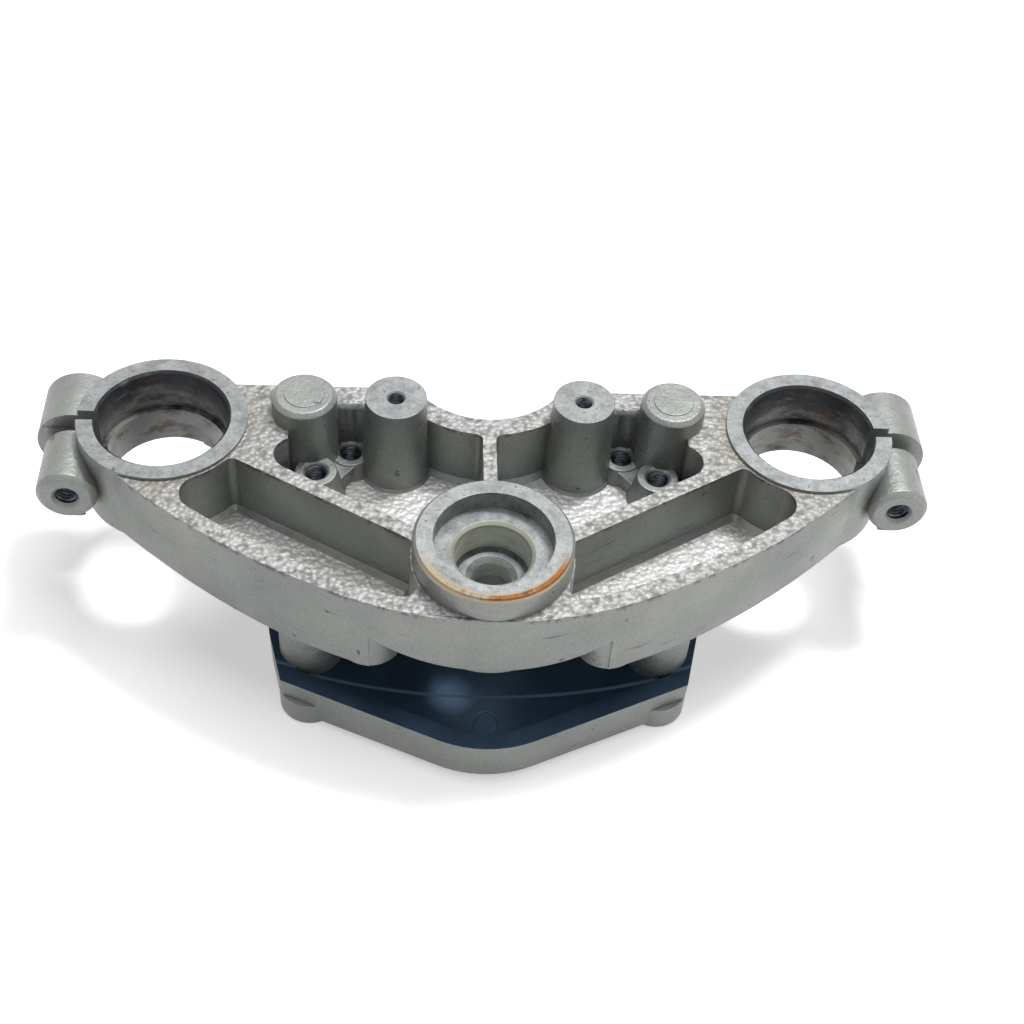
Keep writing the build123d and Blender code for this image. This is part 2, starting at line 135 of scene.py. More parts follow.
class Nodes:
    """A small builder for one procedural material."""

    def __init__(self, name: str) -> None:
        """Start an empty material with a Principled shader on its output.

        Args:
            name: The material's name.
        """
        self.material = bpy.data.materials.new(name)
        self.material.use_nodes = True
        self.tree = self.material.node_tree
        self.tree.nodes.clear()
        self.shader = self.add("ShaderNodeBsdfPrincipled")
        output = self.add("ShaderNodeOutputMaterial")
        self.link(self.shader.outputs["BSDF"], output.inputs["Surface"])
        coords = self.add("ShaderNodeTexCoord")
        self.place = coords.outputs["Object"]

    def add(self, kind: str, **settings: object) -> bpy.types.Node:
        """Add a node.

        Args:
            kind: The node's type name.
            **settings: Attributes to set on it.

        Returns:
            The new node.
        """
        node = self.tree.nodes.new(kind)
        for key, value in settings.items():
            setattr(node, key, value)
        return node

    def link(self, output: bpy.types.NodeSocket, target: bpy.types.NodeSocket) -> None:
        """Join two sockets.

        Args:
            output: The socket that gives the value.
            target: The socket that takes it.
        """
        self.tree.links.new(output, target)

    def noise(self, scale: float, detail: float = 4.0, roughness: float = 0.55,
              stretch: Sequence[float] = (1.0, 1.0, 1.0),
              turn: Sequence[float] = (0.0, 0.0, 0.0)) -> bpy.types.NodeSocket:
        """Add a noise pattern in object space.

        Args:
            scale: Repeats in each metre.
            detail: Number of octaves.
            roughness: Weight of the finer octaves.
            stretch: Factor on each axis, for streaks.
            turn: Turn of the streaks about each axis, in degrees.

        Returns:
            The pattern's value, from 0 to 1.
        """
        mapping = self.add("ShaderNodeMapping")
        mapping.inputs["Scale"].default_value = stretch
        mapping.inputs["Rotation"].default_value = [math.radians(angle) for angle in turn]
        self.link(self.place, mapping.inputs["Vector"])
        node = self.add("ShaderNodeTexNoise")
        node.inputs["Scale"].default_value = scale
        node.inputs["Detail"].default_value = detail
        node.inputs["Roughness"].default_value = roughness
        self.link(mapping.outputs["Vector"], node.inputs["Vector"])
        return node.outputs["Fac"]

    def cells(self, scale: float, smooth: float) -> bpy.types.NodeSocket:
        """Add a pattern of smooth cells in object space.

        Args:
            scale: Repeats in each metre.
            smooth: How far the cells run into each other, from 0 to 1.

        Returns:
            The distance from the middle of a cell.
        """
        node = self.add("ShaderNodeTexVoronoi", feature="SMOOTH_F1")
        node.inputs["Scale"].default_value = scale
        node.inputs["Smoothness"].default_value = smooth
        self.link(self.place, node.inputs["Vector"])
        return node.outputs["Distance"]

    def ramp(self, value: bpy.types.NodeSocket, low: float, high: float,
             start: float = 0.0, end: float = 1.0) -> bpy.types.NodeSocket:
        """Map a value's range to another one, clamped at both ends.

        Args:
            value: The value.
            low: The value that gives start; it may be the larger one.
            high: The value that gives end.
            start: The result at low.
            end: The result at high.

        Returns:
            The mapped value.
        """
        node = self.add("ShaderNodeMapRange")
        node.inputs["From Min"].default_value = low
        node.inputs["From Max"].default_value = high
        node.inputs["To Min"].default_value = start
        node.inputs["To Max"].default_value = end
        self.link(value, node.inputs["Value"])
        return node.outputs["Result"]

    def math(self, operation: str, first: bpy.types.NodeSocket,
             second: "bpy.types.NodeSocket | float") -> bpy.types.NodeSocket:
        """Combine two values.

        Args:
            operation: The Math node's operation.
            first: The first value.
            second: The second value, as a socket or a number.

        Returns:
            The result.
        """
        node = self.add("ShaderNodeMath", operation=operation)
        self.link(first, node.inputs[0])
        if isinstance(second, (int, float)):
            node.inputs[1].default_value = second
        else:
            self.link(second, node.inputs[1])
        return node.outputs["Value"]

    def mix(self, factor: bpy.types.NodeSocket, low: Sequence[float],
            high: Sequence[float]) -> bpy.types.NodeSocket:
        """Mix two colours, each given as three numbers or as a socket.

        Args:
            factor: The share of the second colour, from 0 to 1.
            low: The colour at 0.
            high: The colour at 1.

        Returns:
            The mixed colour.
        """
        node = self.add("ShaderNodeMix", data_type="RGBA")
        self.link(factor, node.inputs["Factor"])
        for socket, colour in ((node.inputs["A"], low), (node.inputs["B"], high)):
            if isinstance(colour, bpy.types.NodeSocket):
                self.link(colour, socket)
            else:
                socket.default_value = (*colour, 1.0)
        return node.outputs["Result"]

    def bump(self, height: bpy.types.NodeSocket, distance: float, strength: float = 1.0,
             below: "bpy.types.NodeSocket | None" = None) -> bpy.types.NodeSocket:
        """Add a bump.

        Args:
            height: The height value, 0 to 1.
            distance: Relief in metres for a height of 1.
            strength: The bump's weight.
            below: A normal from another bump to build on.

        Returns:
            The bumped normal.
        """
        node = self.add("ShaderNodeBump")
        node.inputs["Distance"].default_value = distance
        node.inputs["Strength"].default_value = strength
        self.link(height, node.inputs["Height"])
        if below is not None:
            self.link(below, node.inputs["Normal"])
        return node.outputs["Normal"]

    def axis(self, name: str, mirrored: bool = False) -> bpy.types.NodeSocket:
        """Give one coordinate in object space.

        Args:
            name: The axis, X, Y or Z.
            mirrored: True to leave out the sign, so that both halves look alike.

        Returns:
            The coordinate, in metres.
        """
        node = self.add("ShaderNodeSeparateXYZ")
        self.link(self.place, node.inputs["Vector"])
        value = node.outputs[name]
        return self.math("ABSOLUTE", value, 0.0) if mirrored else value

    def radius(self, x_mm: float, y_mm: float) -> bpy.types.NodeSocket:
        """Give the distance in metres from an upright axis and from its mirror image.

        Args:
            x_mm: The axis's X, in millimetres.
            y_mm: The axis's Y, in millimetres.

        Returns:
            The distance.
        """
        across = self.math("SUBTRACT", self.axis("X", True), x_mm * MM)
        along = self.math("SUBTRACT", self.axis("Y"), y_mm * MM)
        squares = self.math("ADD", self.math("MULTIPLY", across, across),
                            self.math("MULTIPLY", along, along))
        return self.math("SQRT", squares, 0.0)

    def finish(self, colour: bpy.types.NodeSocket, roughness: bpy.types.NodeSocket,
               normal: bpy.types.NodeSocket, metallic: float) -> bpy.types.Material:
        """Join the patterns to the shader.

        Args:
            colour: The base colour.
            roughness: The roughness.
            normal: The bumped normal.
            metallic: The metallic value.

        Returns:
            The finished material.
        """
        self.link(colour, self.shader.inputs["Base Color"])
        self.link(roughness, self.shader.inputs["Roughness"])
        self.link(normal, self.shader.inputs["Normal"])
        self.shader.inputs["Metallic"].default_value = metallic
        return self.material


@dataclass(frozen=True)
class Rust:
    """The orange-brown bloom on the front rim of the stem boss.

    Going outward, a tan band starts at inner_mm, the rust streak runs from streak_mm to edge_mm,
    and a cream rim ends at outer_mm. The bloom lies in front of front_mm and above foot_mm.
    """

    inner_mm: float = 20.6
    inner_fade_mm: float = 0.8
    streak_mm: float = 21.4
    streak_fade_mm: float = 0.5
    edge_mm: float = 23.3
    edge_fade_mm: float = 0.2
    edge_lap_mm: float = 0.1
    outer_mm: float = 24.3
    outer_fade_mm: float = 0.4
    front_mm: float = -5.0
    front_fade_mm: float = 7.0
    foot_mm: float = 6.3
    full_mm: float = 6.7
    right_mm: tuple[float, float] = (-14.0, 6.0)
    right_more: tuple[float, float] = (-0.06, 0.12)
    rim_strength: float = 0.7
    cream: tuple[float, float, float] = (0.46, 0.40, 0.28)
    tan: tuple[float, float, float] = (0.31, 0.25, 0.165)
    orange: tuple[float, float, float] = (0.22, 0.085, 0.022)
    brown: tuple[float, float, float] = (0.09, 0.036, 0.015)

    def over(self, n: Nodes, colour: bpy.types.NodeSocket) -> bpy.types.NodeSocket:
        """Lay the rust over a colour.

        Args:
            n: The material's nodes.
            colour: The clean colour.

        Returns:
            The stained colour.
        """
        reach = n.radius(0.0, 0.0)
        height = n.ramp(n.axis("Z"), self.foot_mm * MM, self.full_mm * MM)
        front = n.ramp(n.axis("Y"), self.front_mm * MM,
                       (self.front_mm - self.front_fade_mm) * MM)
        outer = n.ramp(reach, (self.outer_mm + self.outer_fade_mm) * MM, self.outer_mm * MM)
        where = n.math("MULTIPLY", n.math("MULTIPLY", outer, front), height)
        band = n.ramp(reach, self.inner_mm * MM, (self.inner_mm + self.inner_fade_mm) * MM)
        patches = n.ramp(n.noise(90.0, 4.0, 0.6), 0.34, 0.46, 0.25, 0.9)
        bloom = n.math("MULTIPLY", n.math("MULTIPLY", where, band), patches)
        colour = n.mix(bloom, colour, self.tan)
        edge_end = (self.edge_mm + self.edge_fade_mm) * MM
        line = n.math(
            "MULTIPLY",
            n.ramp(reach, self.streak_mm * MM, (self.streak_mm + self.streak_fade_mm) * MM),
            n.ramp(reach, edge_end, (self.edge_mm - self.edge_lap_mm) * MM),
        )
        left_mm, right_mm = self.right_mm
        right = n.ramp(n.axis("X"), left_mm * MM, right_mm * MM, *self.right_more)
        gaps = n.ramp(n.math("ADD", n.noise(130.0, 5.0, 0.65), right), 0.46, 0.56)
        streak = n.math("MULTIPLY", n.math("MULTIPLY", where, line), gaps)
        tone = n.mix(n.ramp(n.noise(200.0, 5.0, 0.7), 0.48, 0.60), self.orange, self.brown)
        colour = n.mix(streak, colour, tone)
        rim = n.math("MULTIPLY", where, n.ramp(reach, self.edge_mm * MM, edge_end))
        return n.mix(n.math("MULTIPLY", rim, self.rim_strength), colour, self.cream)


@dataclass(frozen=True)
class SatinCasting:
    """Blasted casting walls: satin grey with faint smears, scratches and small dark nicks.

    Torn dark marks follow the walls' lip, from lip_mm under the cast top to over_mm above it.
    They stay clear of the boss and the posts (axis and radius in clear_mm) and of the ears.
    """

    light: tuple[float, float, float] = (0.27, 0.28, 0.265)
    dark: tuple[float, float, float] = (0.19, 0.205, 0.195)
    nick: tuple[float, float, float] = (0.07, 0.07, 0.075)
    sparkle: tuple[float, float, float] = (0.6, 0.6, 0.59)
    scratch_turns: tuple[float, ...] = (28.0, -52.0)
    scratch_strength: float = 0.5
    nick_strength: float = 0.75
    top_mm: float = CAST_TOP
    lip_mm: tuple[float, float] = (2.0, 0.5)
    over_mm: tuple[float, float] = (0.4, 0.1)
    clear_mm: tuple[tuple[float, float, float], ...] = (
        (0.0, 0.0, 25.0), (*INNER_POST, 12.5), (*OUTER_POST, 11.5),
    )
    clear_fade_mm: float = 0.5
    ear_mm: float = EAR_START
    ear_fade_mm: float = 1.0
    metallic: float = 0.55
    rust: Rust = Rust()

    def build(self) -> bpy.types.Material:
        """Build the material."""
        n = Nodes("satin casting")
        broad = n.noise(24.0, 5.0, 0.6)
        colour = n.mix(n.ramp(broad, 0.35, 0.65), self.dark, self.light)
        grain = n.noise(1500.0, 2.0, 0.6)
        colour = n.mix(n.ramp(grain, 0.3, 0.7, 0.0, 0.2), colour, self.sparkle)
        for turn in self.scratch_turns:
            lines = n.noise(60.0, 4.0, 0.6, (0.5, 0.5, 6.0), (0.0, turn, 0.0))
            scratches = n.ramp(lines, 0.675, 0.70)
            colour = n.mix(n.math("MULTIPLY", scratches, self.scratch_strength), colour,
                           self.nick)
        nicks = n.ramp(n.noise(260.0, 2.0, 0.5), 0.72, 0.75)
        colour = n.mix(n.math("MULTIPLY", nicks, self.nick_strength), colour, self.nick)
        lip, above = (
            n.ramp(n.axis("Z"), (self.top_mm + far) * MM, (self.top_mm + near) * MM)
            for far, near in ((-self.lip_mm[0], -self.lip_mm[1]), self.over_mm)
        )
        torn = n.ramp(n.noise(330.0, 4.0, 0.6, (1.0, 1.0, 0.5)), 0.5, 0.6)
        torn = n.math("MULTIPLY", n.math("MULTIPLY", lip, above), torn)
        inside = n.ramp(n.axis("X", True), (self.ear_mm + self.ear_fade_mm) * MM,
                        self.ear_mm * MM)
        torn = n.math("MULTIPLY", torn, inside)
        for x_mm, y_mm, reach_mm in self.clear_mm:
            outside = n.ramp(n.radius(x_mm, y_mm), reach_mm * MM,
                             (reach_mm + self.clear_fade_mm) * MM)
            torn = n.math("MULTIPLY", torn, outside)
        colour = n.mix(n.math("MULTIPLY", torn, self.nick_strength), colour, self.nick)
        colour = self.rust.over(n, colour)
        rough = n.ramp(n.noise(60.0, 4.0), 0.3, 0.7, 0.38, 0.52)
        normal = n.bump(n.noise(110.0, 3.0), 0.0005)
        normal = n.bump(n.noise(900.0, 3.0, 0.6), 0.00013, 1.0, normal)
        return n.finish(colour, rough, normal, self.metallic)


@dataclass(frozen=True)
class CrinkledCasting:
    """As-cast level faces: bright, with a torn, hammered crinkle in folds of a few millimetres.

    The pocket floors get painted light, a paler colour over the heights in floor_mm that stands
    in for sunlight on them, and soil lies round the collars, over the radii in soil_mm.
    """

    light: tuple[float, float, float] = (0.42, 0.425, 0.415)
    dark: tuple[float, float, float] = (0.18, 0.185, 0.175)
    # This pale colour is painted light, standing in for sunlight on the pocket floors.
    floor: tuple[float, float, float] = (0.84, 0.845, 0.83)
    pit: tuple[float, float, float] = (0.10, 0.10, 0.10)
    soil: tuple[float, float, float] = (0.26, 0.235, 0.205)
    floor_mm: tuple[float, float] = (-20.0, -22.0)
    floor_light_share: float = 0.6
    pit_strength: float = 0.8
    collar_mm: tuple[float, float] = FORK_AXIS
    soil_mm: tuple[float, float] = (36.0, 27.0)
    relief_mm: float = 0.7
    metallic: float = 0.3

    def build(self) -> bpy.types.Material:
        """Build the material."""
        n = Nodes("crinkled casting")
        folds = n.noise(380.0, 2.0, 0.5)
        cells = n.cells(620.0, 0.6)
        relief = n.math("ADD", n.math("MULTIPLY", cells, -0.8), folds)
        # Painted shade: the crinkle's hollows are darker and its ridges lighter, after the bump's
        # own relief.
        colour = n.mix(n.ramp(relief, -0.12, 0.25), self.dark, self.light)
        # Painted light: the pocket floors are mixed towards the pale floor colour.
        start_mm, full_mm = self.floor_mm
        floor_painted_light = n.ramp(n.axis("Z"), start_mm * MM, full_mm * MM, 0.0, self.floor_light_share)
        colour = n.mix(floor_painted_light, colour, self.floor)
        pits = n.ramp(n.noise(300.0, 3.0, 0.55), 0.70, 0.74)
        colour = n.mix(n.math("MULTIPLY", pits, self.pit_strength), colour, self.pit)
        far_mm, near_mm = self.soil_mm
        near = n.ramp(n.radius(*self.collar_mm), far_mm * MM, near_mm * MM)
        patch = n.math("MULTIPLY", near, n.ramp(n.noise(60.0, 3.0), 0.40, 0.60, 0.35, 0.8))
        colour = n.mix(patch, colour, self.soil)
        rough = n.ramp(n.noise(200.0, 3.0), 0.3, 0.7, 0.48, 0.6)
        normal = n.bump(relief, self.relief_mm * MM)
        return n.finish(colour, rough, normal, self.metallic)


@dataclass(frozen=True)
class MachinedFace:
    """Turned or milled faces: even, smoother, with scuffs and dark specks."""

    light: tuple[float, float, float] = (0.31, 0.325, 0.325)
    dark: tuple[float, float, float] = (0.15, 0.16, 0.16)
    speck: tuple[float, float, float] = (0.06, 0.06, 0.06)
    speck_strength: float = 0.8
    metallic: float = 0.6
    rust: Rust = Rust()

    def build(self) -> bpy.types.Material:
        """Build the material."""
        n = Nodes("machined face")
        scuffs = n.noise(190.0, 8.0, 0.8)
        colour = n.mix(n.ramp(scuffs, 0.42, 0.66), self.light, self.dark)
        grain = n.ramp(n.noise(1300.0, 2.0, 0.6), 0.45, 0.75, 0.0, 0.3)
        colour = n.mix(grain, colour, self.speck)
        specks = n.ramp(n.noise(520.0, 2.0, 0.5), 0.67, 0.72)
        colour = n.mix(n.math("MULTIPLY", specks, self.speck_strength), colour, self.speck)
        colour = self.rust.over(n, colour)
        rough = n.ramp(n.noise(300.0, 3.0), 0.3, 0.7, 0.5, 0.64)
        normal = n.bump(n.noise(1500.0, 2.0), 0.00003)
        return n.finish(colour, rough, normal, self.metallic)


@dataclass(frozen=True)
class WornShadedBore:
    """The inside of a fork bore: painted shade in blue-black rings, with scuffs and brown grease
    stains.

    The painted shade thins further down, over the heights in low_mm.
    """

    bare: tuple[float, float, float] = (0.24, 0.245, 0.235)
    # The blue-black colour below is painted shade, for the shade inside the bore.
    painted_bore_shade: tuple[float, float, float] = (0.028, 0.031, 0.037)
    brown: tuple[float, float, float] = (0.10, 0.068, 0.042)
    low_mm: tuple[float, float] = (-4.0, -17.0)
    low_more: tuple[float, float] = (-0.16, 0.10)
    metallic: float = 0.6

    def build(self) -> bpy.types.Material:
        """Build the material."""
        n = Nodes("worn fork bore in painted shade")
        rings = n.noise(70.0, 6.0, 0.68, (0.8, 0.8, 1.7))
        start_mm, full_mm = self.low_mm
        low = n.ramp(n.axis("Z"), start_mm * MM, full_mm * MM, *self.low_more)
        # Painted shade: the blue-black mix in rings, heavier towards the top of the bore.
        shade = n.ramp(n.math("ADD", rings, low), 0.42, 0.60)
        colour = n.mix(shade, self.painted_bore_shade, self.bare)
        spots = n.ramp(n.noise(120.0, 5.0, 0.7, (1.0, 1.0, 2.0)), 0.52, 0.64, 0.0, 0.8)
        colour = n.mix(spots, colour, self.brown)
        rough = n.ramp(rings, 0.35, 0.7, 0.3, 0.6)
        normal = n.bump(n.noise(700.0, 2.0, 0.5, (0.4, 0.4, 4.0)), 0.00006)
        return n.finish(colour, rough, normal, self.metallic)


@dataclass(frozen=True)
class GreyGreenBore:
    """The stem bore: dull grey-green oxide on turned metal, olive on its chamfer."""

    light: tuple[float, float, float] = (0.80, 0.82, 0.755)
    dark: tuple[float, float, float] = (0.58, 0.60, 0.545)
    olive: tuple[float, float, float] = (0.38, 0.38, 0.29)
    chamfer_mm: tuple[float, float] = (-0.6, 0.2)
    olive_share: float = 0.85
    metallic: float = 0.5

    def build(self) -> bpy.types.Material:
        """Build the material."""
        n = Nodes("stem bore")
        stains = n.noise(110.0, 4.0, 0.6, (1.0, 1.0, 2.5))
        colour = n.mix(n.ramp(stains, 0.4, 0.65), self.light, self.dark)
        start_mm, full_mm = self.chamfer_mm
        top = n.ramp(n.axis("Z"), start_mm * MM, full_mm * MM, 0.0, self.olive_share)
        colour = n.mix(top, colour, self.olive)
        rough = n.ramp(stains, 0.3, 0.7, 0.35, 0.55)
        normal = n.bump(n.noise(900.0, 2.0, 0.5, (0.4, 0.4, 3.0)), 0.00004)
        return n.finish(colour, rough, normal, self.metallic)


@dataclass(frozen=True)
class PanInPaintedShade:
    """The platform's sunk top: painted shade in blue-black for the casting's shadow on it,
    with a curved step and a round ejector mark in bump.

    The step's Y is step_mm on the centre line and grows with step_bend times X squared, in
    metres. mark_mm holds the mark's X, Y and radius.
    """

    # light and dark are painted shade: blue-black for the shadow the casting casts on the pan.
    light: tuple[float, float, float] = (0.042, 0.088, 0.155)
    dark: tuple[float, float, float] = (0.028, 0.060, 0.110)
    step_mm: float = -13.0
    step_bend: float = 2.6
    step_half_mm: float = 0.6
    mark_mm: tuple[float, float, float] = (-0.3, -22.7, 3.9)
    mark_line_mm: tuple[float, float] = (0.5, 0.15)
    mark_weight: float = 0.5
    relief_mm: float = 0.6
    metallic: float = 0.4

    def build(self) -> bpy.types.Material:
        """Build the material."""
        n = Nodes("pan in painted shade")
        clouds = n.noise(45.0, 4.0, 0.6)
        colour = n.mix(n.ramp(clouds, 0.35, 0.65), self.dark, self.light)
        rough = n.ramp(n.noise(90.0, 3.0), 0.3, 0.7, 0.4, 0.48)
        across = n.axis("X")
        bend = n.math("MULTIPLY", n.math("MULTIPLY", across, across), self.step_bend)
        behind = n.math("SUBTRACT", n.axis("Y"), bend)
        step = n.ramp(behind, (self.step_mm - self.step_half_mm) * MM,
                      (self.step_mm + self.step_half_mm) * MM)
        x_mm, y_mm, mark_r = self.mark_mm
        away = n.math("SUBTRACT", n.radius(x_mm, y_mm), mark_r * MM)
        outer_mm, inner_mm = self.mark_line_mm
        ring = n.ramp(n.math("ABSOLUTE", away, 0.0), outer_mm * MM, inner_mm * MM)
        relief = n.math("SUBTRACT", step, n.math("MULTIPLY", ring, self.mark_weight))
        normal = n.bump(relief, self.relief_mm * MM)
        normal = n.bump(n.noise(300.0, 3.0), 0.00005, 1.0, normal)
        return n.finish(colour, rough, normal, self.metallic)


@dataclass(frozen=True)
class CutThread:
    """Tapped holes and their threads: metal in painted shade, dark blue-black."""

    light: tuple[float, float, float] = (0.11, 0.125, 0.15)
    dark: tuple[float, float, float] = (0.03, 0.035, 0.045)
    metallic: float = 0.9

    def build(self) -> bpy.types.Material:
        """Build the material."""
        n = Nodes("cut thread")
        shade_mottle = n.noise(500.0, 3.0)
        # Painted shade: the holes' metal is dark blue-black for the shade inside them.
        colour = n.mix(n.ramp(shade_mottle, 0.4, 0.6), self.dark, self.light)
        rough = n.ramp(shade_mottle, 0.3, 0.7, 0.3, 0.42)
        normal = n.bump(n.noise(1500.0, 2.0), 0.00002)
        return n.finish(colour, rough, normal, self.metallic)


@dataclass(frozen=True)
class TappedHole:
    """One tapped hole, on both sides of the casting.

    Args:
        mouth: The centre of its mouth on the right side, in millimetres.
        way: The direction into the metal.
        crest_r: Radius of the thread's crests, in millimetres.
        root_r: Radius of the drilled wall, in millimetres.
        pitch: The thread's pitch in millimetres.
        turns: Number of turns that are cut.
        steps: Number of faces in one turn.
        skin: Depth under the mouth at which the hole's finish starts.
        past_turns: How far the hole's finish reaches past the last turn.
        wall: How far outside the drilled wall a corner still belongs to the hole.
        sunk: How far the ridge starts inside the metal.
        flanks: Where the crest starts and ends and the ridge ends, as shares of the pitch.
    """

    mouth: tuple[float, float, float]
    way: tuple[float, float, float]
    crest_r: float
    root_r: float
    pitch: float
    turns: int
    steps: int = 36
    skin: float = 0.05
    past_turns: float = 8.0
    wall: float = 1.1
    sunk: float = 0.08
    flanks: tuple[float, float, float] = (0.42, 0.54, 0.96)

    def holds(self, place: Vector) -> bool:
        """Tell whether a point belongs to this hole or to its mirror image.

        Args:
            place: The point, in millimetres.

        Returns:
            True where it does.
        """
        way = Vector(self.way)
        offset = Vector((abs(place.x), place.y, place.z)) - Vector(self.mouth)
        depth = offset.dot(way)
        end = self.pitch * self.turns + self.past_turns
        reach = self.root_r + self.wall
        return self.skin < depth < end and (offset - way * depth).length < reach

    def helix(self, side: int) -> bpy.types.Mesh:
        """Turn the thread's ridge into the hole.

        Args:
            side: 1 for the right side, -1 for the left.

        Returns:
            The ridge's mesh, in metres.
        """
        ridge = bmesh.new()
        foot_r = self.root_r + self.sunk
        crest_start, crest_end, ridge_end = (-share * self.pitch for share in self.flanks)
        profile = (
            (foot_r, 0.0), (self.crest_r, crest_start), (self.crest_r, crest_end),
            (foot_r, ridge_end),
        )
        corners = [ridge.verts.new((r * MM, 0.0, z * MM)) for r, z in profile]
        start = ridge.faces.new(corners)
        bmesh.ops.spin(
            ridge, geom=[start, *start.edges, *start.verts], cent=(0, 0, 0), axis=(0, 0, 1),
            dvec=(0, 0, -self.pitch * MM / self.steps), angle=math.tau * self.turns,
            steps=self.steps * self.turns, use_merge=False, use_duplicate=False,
        )
        bmesh.ops.recalc_face_normals(ridge, faces=ridge.faces)
        turn = (-Vector(self.way)).to_track_quat("Z", "Y").to_matrix().to_4x4()
        mouth = Vector((side * self.mouth[0], *self.mouth[1:])) * MM
        bmesh.ops.transform(ridge, matrix=Matrix.Translation(mouth) @ turn, verts=ridge.verts)
        data = bpy.data.meshes.new("ridge")
        ridge.to_mesh(data)
        ridge.free()
        return data


@dataclass
class Threads:
    """The threads of the eight tapped holes, four on each side."""

    post: TappedHole = TappedHole((*INNER_POST, 7.1), (0, 0, -1), 2.08, 2.5, 1.0, 12)
    front_boss: TappedHole = TappedHole((54.6, 46.3, -14.9), (0, 0, -1), 2.85, 3.4, 1.25, 9)
    rear_boss: TappedHole = TappedHole((44.2, 59.2, -19.0), (0, 0, -1), 2.85, 3.4, 1.25, 8)
    pinch: TappedHole = TappedHole((130.8, 33.6, -14.4), (0, 1, 0), 2.85, 3.4, 1.25, 12)
    finish: CutThread = CutThread()

    def holes(self) -> list[TappedHole]:
        """List the holes of the right side; the left side has the same."""
        return [self.post, self.front_boss, self.rear_boss, self.pinch]

    def build(self) -> bpy.types.Object:
        """Build the threads as one piece.

        Returns:
            The threads' object.
        """
        mesh = bmesh.new()
        for hole in self.holes():
            for side in (-1, 1):
                ridge = hole.helix(side)
                mesh.from_mesh(ridge)
                bpy.data.meshes.remove(ridge)
        data = bpy.data.meshes.new("threads")
        mesh.to_mesh(data)
        mesh.free()
        data.materials.append(self.finish.build())
        threads = bpy.data.objects.new("threads", data)
        bpy.context.scene.collection.objects.link(threads)
        return threads


